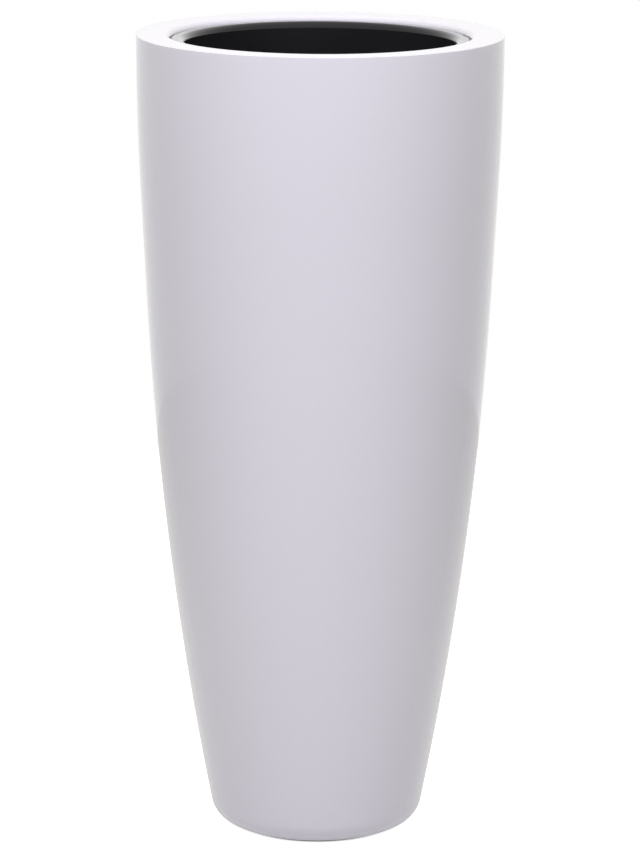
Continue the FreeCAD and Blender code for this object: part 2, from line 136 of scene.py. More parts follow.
class LinerSizes(bpy.types.PropertyGroup):
    """Sizes of the lift-out liner."""
    top: length("Flange height", "Top of the flange above the floor", LINER_HIGH.z)
    flange_radius: length("Flange radius", "Outside of the flange", LINER_HIGH.x)
    flange_width: length("Flange width", "Flat part of the flange", 0.006)
    flange_round: length("Flange edge", "Softened outer edge of the flange", 0.0007)
    roll: length("Rolled shoulder", "Rounding from flange to wall", 0.006)
    wall: length("Wall", "Moulded wall", 0.0028)
    depth: length("Depth", "Flange top to the liner's floor", 0.250)
    draft: slope("Draft", "Taper of the wall", 3.0)
    corner: length("Corner", "Inside corner between wall and floor", 0.009)
    drain_radius: length("Drain radius", "Drain hole in the floor", 0.008)
    notch_count: count("Notches", "Lifting notches in the flange", 2)
    notch_depth: length("Notch depth", "Notch into the flange", 0.0024)
    notch_radius: length("Notch radius", "Radius of the notch's scallop", 0.027)
    notch_bearing: slope("Notch bearing", "Bearing of the first notch", 10.6)
    rib_count: count("Ribs", "Drainage ribs on the floor", 6)
    rib_height: length("Rib height", "Height of a rib", 0.004)
    rib_width: length("Rib width", "Width of a rib", 0.003)
    rib_start: length("Rib start", "Inner end of a rib", 0.024)
    rib_end: length("Rib end", "Outer end of a rib", 0.1052)
    segments: count("Segments", "Faces round the liner", 600)


class RubberSizes(bpy.types.PropertyGroup):
    """Sizes of the drain bungs and the foot pads."""
    head_radius: length("Bung head", "Radius of a bung's head", 0.012)
    head_thickness: length("Head thickness", "Thickness of the head", 0.003)
    head_round: length("Head edge", "Rounding of the head", 0.0011)
    stem_radius: length("Stem", "Radius of the stem", 0.0077)
    stem_length: length("Stem length", "Stem below the head", 0.0083)
    stem_wall: length("Stem wall", "Rubber round the hollow stem", 0.002)
    pad_count: count("Pads", "Foot pads", 4)
    pad_radius: length("Pad radius", "Radius of a pad", 0.010)
    pad_thickness: length("Pad thickness", "Thickness of a pad", PAD_HIGH.z)
    pad_circle: length("Pad circle", "Circle the pads stand on", 0.0591)
    pad_bearing: slope("Pad bearing", "Bearing of the first pad", 45.0)
    segments: count("Segments", "Faces round a small round piece", 72)


class FinishSettings(bpy.types.PropertyGroup):
    """Colours and textures of the finishes."""
    lacquer: tint("Lacquer", "Pearl lacquer where it is thickest", (0.745, 0.722, 0.840))
    lacquer_thin: tint("Thin lacquer", "Pearl lacquer where it is thinnest", (0.728, 0.706, 0.805))
    coat_cast: tint("Clear coat", "Cast of the clear coat", (1.0, 0.992, 0.970))
    laminate: tint("Laminate", "Resin and glass strands inside the shell", (0.33, 0.33, 0.29))
    strand: tint("Strands", "Glass strands near the surface", (0.50, 0.51, 0.47))
    plastic: tint("Liner plastic", "Black plastic of the liner", (0.0145, 0.0140, 0.0160))
    rubber: tint("Rubber", "Rubber of bungs and pads", (0.022, 0.022, 0.023))


class StageSettings(bpy.types.PropertyGroup):
    """Camera, floor and light."""
    camera_distance: length("Camera distance", "Camera in front of the axis", 3.8593)
    camera_height: length("Camera height", "Camera above the floor", 1.2380)
    camera_side: FloatProperty(name="Camera side", description="Camera to the right of the axis",
                               default=0.0017, unit="LENGTH")
    camera_pitch: slope("Camera pitch", "Camera tilted down", 12.5146)
    camera_roll: slope("Camera roll", "Camera turned about its view", 0.33)
    focal_pixels: FloatProperty(name="Focal length", default=4228.7, min=1.0,
                                description="Focal length in pixels of the picture")
    picture_height: count("Picture height", "Pixels of the picture from top to bottom", 853)
    sky_fill: share("Sky fill", "Light of the white surroundings on matt surfaces", 0.25)
    sky_cast: tint("Sky cast", "Colour of that light", (1.0, 0.985, 0.94))
    key_power: power("Key lamp", "Wide soft lamp high in front", 34.0)
    key_cast: tint("Key cast", "Colour of the key lamp", (0.94, 0.955, 1.0))
    left_power: power("Left lamp", "Soft lamp in front on the left", 18.5)
    right_power: power("Right lamp", "Soft lamp in front on the right", 8.0)
    top_power: power("Top lamp", "Soft lamp above", 17.0)
    top_cast: tint("Top cast", "Colour of the lamp above", (1.0, 0.985, 0.88))
    floor_radius: length("Floor", "Radius of the white floor", 1.6)
    floor_tone: share("Floor tone", "Paleness of the floor's own surface", 0.70)
    floor_lift: share("Floor lift", "Light added to the floor as the camera sees it", 0.90)
    floor_mirrored: share("Mirrored floor", "Share of that light in the gloss", 0.42)
    # these two radii hold back the floor's added light round the foot: a painted contact shadow
    painted_shade_inner: length("Contact shade", "Floor inside it gets no added light", 0.0745)
    painted_shade_outer: length("Contact edge", "Floor outside it gets all of that light", 0.0780)


# ---------------------------------------------------------------- node trees

class NodeTree:
    """A node tree under construction, with its inputs, outputs and arithmetic."""

    def __init__(self, tree):
        self.tree = tree
        self.nodes = tree.nodes
        self.source = None

    def add_socket(self, name, kind, direction="INPUT", **settings):
        socket = self.tree.interface.new_socket(name=name, in_out=direction,
                                                socket_type="NodeSocket" + kind)
        for key, setting in settings.items():
            setattr(socket, key, setting)

    def given(self, name):
        """The value of one of the tree's own inputs."""
        if self.source is None:
            self.source = self.nodes.new("NodeGroupInput")
        return self.source.outputs[name]

    def add(self, kind, wires=None, **settings):
        """A node with its settings; wires gives what feeds each named or numbered input."""
        node = self.nodes.new(kind)
        for key, setting in settings.items():
            setattr(node, key, setting)
        for place, feed in (wires or {}).items():
            self.feed(node.inputs[place], feed)
        return node

    def feed(self, socket, feed):
        if isinstance(feed, bpy.types.NodeSocket):
            self.tree.links.new(feed, socket)
        else:
            socket.default_value = feed

    def around(self, radius, bearing, **height):
        """A place at a radius and a bearing round the upright axis."""
        return self.add("ShaderNodeCombineXYZ", {
            "X": self.math("MULTIPLY", radius, self.math("COSINE", bearing)),
            "Y": self.math("MULTIPLY", radius, self.math("SINE", bearing)),
            **height}).outputs[0]

    def noise(self, size, detail, roughness):
        """Smooth noise whose features have a given real size."""
        return self.add("ShaderNodeTexNoise", {
            "Vector": self.add("ShaderNodeTexCoord").outputs["Object"],
            "Scale": self.math("DIVIDE", 1.0, size), "Detail": detail,
            "Roughness": roughness}).outputs["Fac"]

    def give(self, **outputs):
        """The tree's output node and what feeds it."""
        out = self.add("NodeGroupOutput")
        for name, feed in outputs.items():
            self.feed(out.inputs[name], feed)

    def math(self, operation, *values):
        return self.add("ShaderNodeMath", dict(enumerate(values)), operation=operation).outputs[0]


def make_turned_tree():
    """Turns an outline of (radius, height) points once round the upright axis."""
    maker = NodeTree(bpy.data.node_groups.new("turned_piece", "GeometryNodeTree"))
    maker.add_socket("Geometry", "Geometry")
    maker.add_socket("Segments", "Int", default_value=96, min_value=3)
    maker.add_socket("Merge Distance", "Float", default_value=MERGE_GAP)
    maker.add_socket("Sharp Angle", "Float", default_value=SHARP_BEND)
    maker.add_socket("Notch Count", "Int", default_value=1)
    for name in ("Notch Radius", "Notch Centre", "Notch Bearing"):
        maker.add_socket(name, "Float")
    maker.add_socket("Outside Material", "Material")
    maker.add_socket("Inside Material", "Material")
    maker.add_socket("Geometry", "Geometry", "OUTPUT")
    outline = maker.given("Geometry")
    segments = maker.given("Segments")

    size = maker.add("GeometryNodeAttributeDomainSize", {"Geometry": outline})
    points = size.outputs["Point Count"]
    grid = maker.add("GeometryNodeMeshGrid",
                     {"Vertices X": maker.math("ADD", segments, 1.0), "Vertices Y": points})
    index = maker.add("GeometryNodeInputIndex").outputs[0]
    step = maker.math("FLOOR", maker.math("DIVIDE", maker.math("ADD", index, 0.5), points))
    place = maker.math("SUBTRACT", index, maker.math("MULTIPLY", step, points))
    # the last row of the grid falls exactly on the first
    wrapped = maker.math("FLOORED_MODULO", step, segments)
    bearing = maker.math("MULTIPLY", wrapped, maker.math("DIVIDE", FULL_TURN, segments))

    corner = maker.add("GeometryNodeSampleIndex", {"Geometry": outline}, data_type="FLOAT_VECTOR")
    maker.feed(corner.inputs["Value"], maker.add("GeometryNodeInputPosition").outputs[0])
    maker.feed(corner.inputs["Index"], place)
    split = maker.add("ShaderNodeSeparateXYZ", {0: corner.outputs[0]})

    # a scallop of a circle whose centre stands outside the flange
    swing = maker.math("DIVIDE", math.pi, maker.given("Notch Count"))
    away = maker.math("WRAP", maker.math("SUBTRACT", bearing, maker.given("Notch Bearing")),
                      swing, maker.math("MULTIPLY", swing, -1.0))
    centre = maker.given("Notch Centre")
    across = maker.math("MULTIPLY", centre, maker.math("SINE", away))
    inside = maker.math("SUBTRACT", maker.math("POWER", maker.given("Notch Radius"), 2.0),
                        maker.math("MULTIPLY", across, across))
    scallop = maker.math("SUBTRACT", maker.math("MULTIPLY", centre, maker.math("COSINE", away)),
                         maker.math("SQRT", maker.math("MAXIMUM", inside, 0.0)))
    # past the circle a whole metre is added, so that the flange keeps its own radius
    clear = maker.math("LESS_THAN", inside, MISSED)
    radius = maker.math("MINIMUM", split.outputs["X"], maker.math("ADD", scallop, clear))

    turned = maker.add("GeometryNodeSetPosition", {
        "Geometry": grid.outputs["Mesh"],
        "Position": maker.around(radius, bearing, Z=split.outputs["Z"])})

    raw = maker.add("GeometryNodeInputNamedAttribute", {"Name": "raw_side"},
                    data_type="FLOAT").outputs["Attribute"]
    raw_there = maker.add("GeometryNodeSampleIndex", {"Geometry": outline}, data_type="FLOAT")
    maker.feed(raw_there.inputs["Value"], raw)
    maker.feed(raw_there.inputs["Index"], place)
    kept = maker.add("GeometryNodeStoreNamedAttribute",
                     {"Geometry": turned.outputs[0], "Name": "raw_side",
                      "Value": raw_there.outputs[0]}, data_type="FLOAT", domain="POINT")
    merged = maker.add("GeometryNodeMergeByDistance",
                       {"Geometry": kept.outputs[0], "Distance": maker.given("Merge Distance")})
    smooth = maker.add("GeometryNodeSetShadeSmooth", {"Geometry": merged.outputs[0]},
                       domain="FACE")
    bend = maker.add("GeometryNodeInputMeshEdgeAngle").outputs["Unsigned Angle"]
    sharp = maker.math("GREATER_THAN", bend, maker.given("Sharp Angle"))
    creased = maker.add("GeometryNodeSetShadeSmooth",
                        {"Geometry": smooth.outputs[0], "Selection": sharp, "Shade Smooth": False},
                        domain="EDGE")
    whole = maker.add("GeometryNodeRealizeInstances", {"Geometry": creased.outputs[0]})
    dressed = maker.add("GeometryNodeSetMaterial", {"Geometry": whole.outputs[0],
                                                    "Material": maker.given("Outside Material")})
    is_raw = maker.math("GREATER_THAN", raw, ALL_RAW)
    backed = maker.add("GeometryNodeSetMaterial",
                       {"Geometry": dressed.outputs[0], "Selection": is_raw,
                        "Material": maker.given("Inside Material")})
    maker.give(Geometry=backed.outputs[0])
    return maker.tree


def make_spread_tree():
    """Repeats a piece evenly round the upright axis."""
    maker = NodeTree(bpy.data.node_groups.new("spread_round", "GeometryNodeTree"))
    maker.add_socket("Geometry", "Geometry")
    maker.add_socket("Count", "Int", default_value=4, min_value=1)
    maker.add_socket("First Bearing", "Float")
    maker.add_socket("Circle Radius", "Float")
    maker.add_socket("Material", "Material")
    maker.add_socket("Geometry", "Geometry", "OUTPUT")

    index = maker.add("GeometryNodeInputIndex").outputs[0]
    share_of_turn = maker.math("DIVIDE", index, maker.given("Count"))
    bearing = maker.math("ADD", maker.math("MULTIPLY", share_of_turn, FULL_TURN),
                         maker.given("First Bearing"))
    spot = maker.around(maker.given("Circle Radius"), bearing)
    turn = maker.add("ShaderNodeCombineXYZ", {"Z": bearing})
    places = maker.add("GeometryNodePoints",
                       {"Count": maker.given("Count"), "Position": spot})
    spread = maker.add("GeometryNodeInstanceOnPoints",
                       {"Points": places.outputs[0], "Instance": maker.given("Geometry"),
                        "Rotation": turn.outputs[0]})
    whole = maker.add("GeometryNodeRealizeInstances", {"Geometry": spread.outputs[0]})
    dressed = maker.add("GeometryNodeSetMaterial",
                        {"Geometry": whole.outputs[0], "Material": maker.given("Material")})
    maker.give(Geometry=dressed.outputs[0])
    return maker.tree


def tree_named(name, make):
    return bpy.data.node_groups.get(name) or make()


def add_tree(piece, tree, **settings):
    """Put a geometry tree on a piece; a setting's name has _ for each space of the input's."""
    modifier = piece.modifiers.new(tree.name, "NODES")
    modifier.node_group = tree
    for socket in tree.interface.items_tree:
        key = socket.name.replace(" ", "_").lower()
        if socket.in_out == "INPUT" and key in settings:
            modifier[socket.identifier] = settings.pop(key)
    if settings:
        raise RuntimeError(f"{tree.name} has no input {', '.join(settings)}")


# ---------------------------------------------------------------- pieces

def put_in_scene(name, content):
    item = bpy.data.objects.new(name, content)
    bpy.context.scene.collection.objects.link(item)
    return item


def arc_points(centre, radius, start, end, steps):
    """Points of an arc in the outline's plane, both ends among them."""
    return [(centre[0] + radius * math.cos(start + (end - start) * k / steps),
             centre[1] + radius * math.sin(start + (end - start) * k / steps))
            for k in range(steps + 1)]


def even_points(first, last, steps):
    """Points between two ends, the ends left out."""
    return [(first[0] + (last[0] - first[0]) * k / steps,
             first[1] + (last[1] - first[1]) * k / steps) for k in range(1, steps)]


def guarded(first, last):
    """Two points just inside the ends of a straight run."""
    run = math.dist(first, last)
    nudge = min(GUARD, run / 3) / run
    return [(first[0] + (last[0] - first[0]) * t, first[1] + (last[1] - first[1]) * t)
            for t in (nudge, 1 - nudge)]


def rounded(corners, steps=6, closed=True):
    """A run through (radius, height, rounding, raw) corners, as (radius, height, raw) points."""
    total = len(corners)
    rounds = []
    for k, (x, z, size, raw) in enumerate(corners):
        if size <= 0:
            rounds.append(([(x, z)], raw))
            continue
        here = Vector((x, z))
        before = (Vector(corners[k - 1][:2]) - here).normalized()
        after = (Vector(corners[(k + 1) % total][:2]) - here).normalized()
        half = before.angle(after) / 2
        middle = here + (before + after).normalized() * size / math.sin(half)
        start = here + before * size / math.tan(half) - middle
        end = here + after * size / math.tan(half) - middle
        side = math.copysign(1.0, start.x * end.y - start.y * end.x)
        first = math.atan2(start.y, start.x)
        last = first + side * start.angle(end)
        rounds.append((arc_points(middle, size, first, last, steps), raw))
    points = []
    for k, (run, raw) in enumerate(rounds):
        points += [(x, z, raw) for x, z in run]
        following, raw_after = rounds[(k + 1) % total]
        if (closed or k + 1 < total) and math.dist(run[-1], following[0]) > 3 * GUARD:
            points += [(x, z, raw and raw_after) for x, z in guarded(run[-1], following[0])]
    return points


def make_turned(name, outline, segments, outside, inside=None, closed=True, **notches):
    """A piece turned from its outline, with the names of its finishes on both sides."""
    if closed:
        outline = outline + outline[:1]
    mesh = bpy.data.meshes.new(name)
    mesh.from_pydata([(x, 0.0, z) for x, z, raw in outline],
                     [(k, k + 1) for k in range(len(outline) - 1)], [])
    mark = mesh.attributes.new("raw_side", "FLOAT", "POINT")
    mark.data.foreach_set("value", [float(raw) for x, z, raw in outline])
    piece = put_in_scene(name, mesh)
    add_tree(piece, tree_named("turned_piece", make_turned_tree), segments=segments,
             outside_material=finish_named(outside),
             inside_material=finish_named(inside or outside), **notches)
    return piece


def faces_inwards(mesh):
    """True where a closed mesh is inside out, from the sign of its volume."""
    body = bmesh.new()
    body.from_mesh(mesh)
    volume = body.calc_volume(signed=True)
    body.free()
    return volume < 0


def finish_piece(piece, body, slot, *nodes):
    """Bake the piece's modifiers, face it outwards, give it its body and hide the CAD nodes it
    stands for; the slot is not used.
    """
    bpy.context.view_layer.update()
    evaluated = piece.evaluated_get(bpy.context.evaluated_depsgraph_get())
    baked = bpy.data.meshes.new_from_object(evaluated)
    piece.modifiers.clear()
    rough_mesh, piece.data = piece.data, baked
    bpy.data.meshes.remove(rough_mesh)
    baked.name = piece.name
    if not baked.polygons:
        raise RuntimeError(f"{piece.name} has no faces")
    if faces_inwards(baked):
        baked.flip_normals()
    if "raw_side" in baked.attributes:
        baked.attributes.remove(baked.attributes["raw_side"])
    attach(piece, body)
    if nodes:
        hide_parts(*nodes)


def shell_outline(sizes):
    """Outline of the shell: rim, upper bow, flank, lower bow, rolled foot, then the inside."""
    taper = sizes.flank_taper
    bow_centre = (sizes.rim_radius - sizes.shoulder_bow, sizes.height)
    flank_top = (bow_centre[0] + sizes.shoulder_bow * math.cos(taper),
                 sizes.height - sizes.shoulder_bow * math.sin(taper))
    flank_foot = (flank_top[0] - sizes.flank_length * math.sin(taper),
                  flank_top[1] - sizes.flank_length * math.cos(taper))
    run_in = flank_foot[0] - sizes.base_radius
    drop = flank_foot[1] - sizes.foot
    rise = run_in * math.cos(taper) - drop * math.sin(taper)
    lower_bow = (run_in ** 2 + drop ** 2) / (2 * rise)
    lower_centre = (flank_foot[0] - lower_bow * math.cos(taper),
                    flank_foot[1] + lower_bow * math.sin(taper))

    def touching(centre, bow, size, height):
        reach = math.sqrt((bow - size) ** 2 - (height - centre[1]) ** 2)
        middle = (centre[0] + reach, height)
        return middle, math.atan2(middle[1] - centre[1], middle[0] - centre[0])

    edge, edge_bearing = touching(bow_centre, sizes.shoulder_bow, sizes.top_edge,
                                  sizes.height - sizes.top_edge)
    roll, roll_bearing = touching(lower_centre, lower_bow, sizes.bottom_edge,
                                  sizes.foot + sizes.bottom_edge)
    corner, corner_bearing = touching(lower_centre, lower_bow - sizes.wall, sizes.floor_round,
                                      sizes.foot + sizes.floor + sizes.floor_round)

    seam = (sizes.rim_radius - sizes.wall, sizes.height)
    edge_arc = arc_points(edge, sizes.top_edge, QUARTER, edge_bearing, 8)
    foot_arc = arc_points(roll, sizes.bottom_edge, roll_bearing, -QUARTER, 20)
    recess_foot = (sizes.recess_radius, sizes.foot)
    outside = [seam] + guarded(seam, edge_arc[0]) + edge_arc
    outside += arc_points(bow_centre, sizes.shoulder_bow, edge_bearing, -taper, 30)[1:]
    outside += even_points(flank_top, flank_foot, 12) + [flank_foot]
    outside += arc_points(lower_centre, lower_bow, -taper, roll_bearing, 80)[1:-1]
    outside += foot_arc + guarded(foot_arc[-1], recess_foot)

    ceiling = sizes.foot + sizes.recess_depth
    floor_top = sizes.foot + sizes.floor
    under = rounded([(*recess_foot, 0.0, True),
                     (sizes.recess_radius, ceiling, 0.0010, True),
                     (sizes.drain_radius, ceiling, 0.0004, True),
                     (sizes.drain_radius, floor_top, 0.0004, True),
                     (corner[0], floor_top, 0.0, True)], steps=4, closed=False)
    inner_flank = [(x - sizes.wall * math.cos(taper), z + sizes.wall * math.sin(taper))
                   for x, z in (flank_foot, flank_top)]
    inside = arc_points(corner, sizes.floor_round, -QUARTER, corner_bearing, 14)[1:]
    inside += arc_points(lower_centre, lower_bow - sizes.wall, corner_bearing, -taper, 48)[1:]
    inside += even_points(inner_flank[0], inner_flank[1], 6)
    inside += arc_points(bow_centre, sizes.shoulder_bow - sizes.wall, -taper, 0.0, 16)[:-1]
    return [(x, z, False) for x, z in outside] + under + [(x, z, True) for x, z in inside]


def rim_outline(rim, shell):
    """Outline of the rim ring: lacquered top and upper step wall; raw laminate on the step wall's
    foot, on the ledge and underneath. Its darkness in the gap round the liner's flange is partly
    the bare laminate and partly painted shade.
    """
    top = shell.height
    seam = shell.rim_radius - shell.wall
    ledge = top - rim.ledge_drop
    back = ledge - rim.thickness
    lip = rim.ledge_bore
    lap_outside, lap_inside = 0.0012, 0.0009    # lacquered filler over the bonded seam
    return rounded([
        # radius, height, rounding, raw side
        (seam, top, 0.0, False),
        (rim.mouth, top, rim.mouth_round, False),
        (rim.mouth, top - rim.painted_shade_below, 0.0, False),
        # from here down, the step wall and the ledge are raw, dark laminate: partly real, partly
        # painted shade that darkens the gap round the flange
        (rim.mouth, top - rim.painted_shade_below - MATERIAL_CHANGE, 0.0, True),
        (rim.mouth, ledge, 0.0008, True),
        (lip, ledge, 0.0006, True),
        (lip, back - rim.collar, 0.0004, True),
        (lip + rim.thickness, back - rim.collar, 0.0004, True),
        (lip + rim.thickness, back, 0.0008, True),
        (rim.mouth + rim.thickness, back, 0.0008, True),
        (rim.mouth + rim.thickness, top - rim.thickness, 0.0020, True),
        (rim.outer - rim.thickness, top - rim.thickness, 0.0020, True),
        (rim.outer - rim.thickness, top - rim.skirt, 0.0004, True),
        (rim.outer, top - rim.skirt, 0.0004, True),
        (rim.outer, top - lap_outside, 0.0, True),
        (seam, top - lap_inside, 0.0, True),
    ])


def liner_outline(liner):
    """Outline of the liner: floor, drafted wall, rolled shoulder, flange, and its outside."""
    lean = math.tan(liner.draft)
    mouth = liner.flange_radius - liner.flange_width - liner.roll
    floor = liner.top - liner.depth
    under = floor - liner.wall
    foot = mouth - liner.depth * lean
    skin = liner.wall / math.cos(liner.draft)
    neck = mouth + skin - liner.wall * lean
    seat = liner.top - liner.wall
    bottom = neck + (under - seat) * lean
    return rounded([
        (liner.drain_radius, floor, 0.0005, False),
        (foot, floor, liner.corner, False),
        (mouth, liner.top, liner.roll, False),
        (liner.flange_radius, liner.top, liner.flange_round, False),
        (liner.flange_radius, seat, liner.flange_round, False),
        (neck, seat, liner.roll - liner.wall, False),
        (bottom, under, liner.corner + liner.wall, False),
        (liner.drain_radius, under, 0.0005, False),
    ], steps=12)


def bung_outline(rubber, seat):
    """Outline of a bung, its head resting at the seat: dished head, hollow stem."""
    top = seat + rubber.head_thickness
    tip = seat - rubber.stem_length
    hollow = rubber.stem_radius - rubber.stem_wall
    dish = rubber.head_radius * 0.58
    dish_depth = 0.0007
    dish_slope = 0.0009
    return rounded([
        (0.0, top - dish_depth, 0.0, False),
        (dish, top - dish_depth, 0.0006, False),
        (dish + dish_slope, top, 0.0005, False),
        (rubber.head_radius, top, rubber.head_round, False),
        (rubber.head_radius, seat, 0.0004, False),
        (rubber.stem_radius, seat, 0.0004, False),
        (rubber.stem_radius, tip, 0.0007, False),
        (hollow, tip, 0.0005, False),
        (hollow, seat, 0.0008, False),
        (0.0, seat, 0.0, False),
    ], steps=5, closed=False)


def pad_outline(rubber):
    """Outline of a foot pad: rounded edges and one shallow groove underneath."""
    high = rubber.pad_thickness
    wide = rubber.pad_radius
    groove = wide * 0.62
    groove_half = 0.0007
    groove_depth = 0.0005
    return rounded([
        (0.0, high, 0.0, False),
        (wide, high, 0.0003, False),
        (wide, 0.0, 0.0006, False),
        (groove + groove_half, 0.0, 0.0002, False),
        (groove, groove_depth, 0.0002, False),
        (groove - groove_half, 0.0, 0.0002, False),
        (0.0, 0.0, 0.0, False),
    ], steps=4, closed=False)


def make_rib(liner):
    """One drainage rib along X, its edges rounded, standing on the liner's floor."""
    floor = liner.top - liner.depth
    root = 0.0004       # sunk into the floor
    half = liner.rib_width / 2
    mesh = bpy.data.meshes.new("drainage_ribs")
    corners = [(x, y, z) for x in (liner.rib_start, liner.rib_end) for y in (-half, half)
               for z in (floor - root, floor + liner.rib_height)]
    faces = [(0, 1, 3, 2), (4, 6, 7, 5), (0, 4, 5, 1), (2, 3, 7, 6), (1, 5, 7, 3), (0, 2, 6, 4)]
    mesh.from_pydata(corners, [], faces)
    piece = put_in_scene("drainage_ribs", mesh)
    soften = piece.modifiers.new("soften", "BEVEL")
    soften.width = 0.0009
    soften.segments = 4
    for face in mesh.polygons:
        face.use_smooth = True
    soften.harden_normals = True
    return piece


# ---------------------------------------------------------------- finishes

def make_grain_group():
    """Fine surface texture: a height and a mask, from two sizes of noise."""
    maker = NodeTree(bpy.data.node_groups.new("surface_grain", "ShaderNodeTree"))
    maker.add_socket("Grain Size", "Float", default_value=0.001)
    maker.add_socket("Wave Size", "Float", default_value=0.08)
    maker.add_socket("Wave Share", "Float", default_value=0.5)
    maker.add_socket("Height", "Float", "OUTPUT")
    maker.add_socket("Mask", "Float", "OUTPUT")
    fine = maker.noise(maker.given("Grain Size"), detail=2.0, roughness=0.5)
    broad = maker.noise(maker.given("Wave Size"), detail=2.0, roughness=0.45)
    part = maker.given("Wave Share")
    fine_part = maker.math("MULTIPLY", fine, maker.math("SUBTRACT", 1.0, part))
    maker.give(Height=maker.math("MULTIPLY_ADD", broad, part, fine_part), Mask=broad)
    return maker.tree


def make_flake_group():
    """Pearl: soft clouding between two colours, with mica flakes under a millimetre wide."""
    maker = NodeTree(bpy.data.node_groups.new("pearl_flake", "ShaderNodeTree"))
    maker.add_socket("Thick Colour", "Color")
    maker.add_socket("Thin Colour", "Color")
    maker.add_socket("Cloud Size", "Float", default_value=0.2)
    maker.add_socket("Flake Size", "Float", default_value=0.0004)
    maker.add_socket("Flake Share", "Float", default_value=0.03)
    maker.add_socket("Colour", "Color", "OUTPUT")
    maker.add_socket("Glint", "Float", "OUTPUT")
    cloud = maker.noise(maker.given("Cloud Size"), detail=3.0, roughness=0.5)
    where = maker.add("ShaderNodeTexCoord").outputs["Object"]
    flakes = maker.add("ShaderNodeTexVoronoi", {
        "Vector": where, "Scale": maker.math("DIVIDE", 1.0, maker.given("Flake Size"))})
    glint = maker.add("ShaderNodeSeparateColor", {0: flakes.outputs["Color"]}).outputs[0]
    blend = maker.add("ShaderNodeMix", {
        0: cloud, 6: maker.given("Thin Colour"), 7: maker.given("Thick Colour")}, data_type="RGBA")
    gain = maker.math("MULTIPLY_ADD", maker.math("SUBTRACT", glint, 0.5),
                      maker.given("Flake Share"), 1.0)
    lit = maker.add("ShaderNodeVectorMath", {0: blend.outputs[2], "Scale": gain},
                    operation="SCALE")
    maker.give(Colour=lit.outputs[0], Glint=glint)
    return maker.tree


def make_strand_group():
    """Chopped glass strands in resin: three crossed layers of stretched cells."""
    maker = NodeTree(bpy.data.node_groups.new("chopped_strands", "ShaderNodeTree"))
    maker.add_socket("Strand Width", "Float", default_value=0.0012)
    maker.add_socket("Strand Length", "Float", default_value=0.03)
    maker.add_socket("Mask", "Float", "OUTPUT")
    maker.add_socket("Height", "Float", "OUTPUT")
    where = maker.add("ShaderNodeTexCoord").outputs["Object"]
    sway = maker.add("ShaderNodeTexNoise", {"Vector": where, "Scale": 22.0, "Detail": 1.0})
    shifted = maker.add("ShaderNodeVectorMath", {
        0: sway.outputs["Color"], 1: (0.012, 0.012, 0.012), 2: where}, operation="MULTIPLY_ADD")
    wide = maker.math("DIVIDE", 1.0, maker.given("Strand Width"))
    long = maker.math("DIVIDE", 1.0, maker.given("Strand Length"))
    stretch = maker.add("ShaderNodeCombineXYZ", {"X": wide, "Y": wide, "Z": long})
    layers = []
    for turn in ((0.35, 0.2, 0.0), (1.3, 0.5, 0.9), (-0.9, 1.1, 2.1)):
        turned = maker.add("ShaderNodeVectorRotate", {"Vector": shifted.outputs[0],
                                                      "Rotation": turn}, rotation_type="EULER_XYZ")
        scaled = maker.add("ShaderNodeVectorMath", {0: turned.outputs[0], 1: stretch.outputs[0]},
                           operation="MULTIPLY")
        cells = maker.add("ShaderNodeTexVoronoi", {"Vector": scaled.outputs[0], "Scale": 1.0})
        layers.append(maker.add("ShaderNodeSeparateColor", {0: cells.outputs["Color"]}).outputs[0])
    height = maker.math("MAXIMUM", maker.math("MAXIMUM", layers[0], layers[1]), layers[2])
    maker.give(Mask=maker.math("POWER", height, 6.0), Height=height)
    return maker.tree


def start_material(name, **shader_settings):
    """A material with one Principled shader whose plain values stand on its own sockets."""
    if name in bpy.data.materials:
        raise RuntimeError(f"the name {name} is already taken by another material")
    material = bpy.data.materials.new(name)
    material.use_nodes = True
    maker = NodeTree(material.node_tree)
    shader = maker.nodes["Principled BSDF"]
    for key, setting in shader_settings.items():
        shader.inputs[key.replace("_", " ")].default_value = setting
    return maker, shader


def add_group(maker, group, **values):
    node = maker.add("ShaderNodeGroup", node_tree=group)
    for key, setting in values.items():
        node.inputs[key.replace("_", " ")].default_value = setting
    return node


def add_bump(maker, shader, height, depth):
    """A relief of a given real depth."""
    bump = maker.add("ShaderNodeBump", {"Height": height, "Strength": 1.0, "Distance": depth})
    maker.feed(shader.inputs["Normal"], bump.outputs[0])


def vary_roughness(maker, shader, mask, lowest, spread):
    maker.feed(shader.inputs["Roughness"], maker.math("MULTIPLY_ADD", mask, spread, lowest))


def vary_colour(maker, shader, mask, low, high):
    """Base colour that runs from one colour to another with a mask."""
    blend = maker.add("ShaderNodeMix", {0: mask, 6: colour(low), 7: colour(high)},
                      data_type="RGBA")
    maker.feed(shader.inputs["Base Color"], blend.outputs[2])


def times(base, factor):
    return [part * factor for part in base]


def colour(rgb):
    return (rgb[0], rgb[1], rgb[2], 1.0)


def make_lacquer(finish):
    """Pearl-white lacquer under clear coat on hand-laid laminate."""
    maker, shader = start_material(
        "gloss_lacquer", Coat_Weight=1.0, Coat_Roughness=0.035, Coat_IOR=1.5, IOR=1.45,
        Coat_Tint=colour(finish.coat_cast))
    pearl = add_group(maker, tree_named("pearl_flake", make_flake_group),
                      Thick_Colour=colour(finish.lacquer), Thin_Colour=colour(finish.lacquer_thin),
                      Cloud_Size=0.16, Flake_Size=0.00045, Flake_Share=0.05)
    peel = add_group(maker, tree_named("surface_grain", make_grain_group),
                     Grain_Size=0.0035, Wave_Size=0.11, Wave_Share=0.75)
    maker.feed(shader.inputs["Base Color"], pearl.outputs["Colour"])
    vary_roughness(maker, shader, pearl.outputs["Glint"], lowest=0.30, spread=0.10)
    add_bump(maker, shader, peel.outputs["Height"], depth=0.00012)


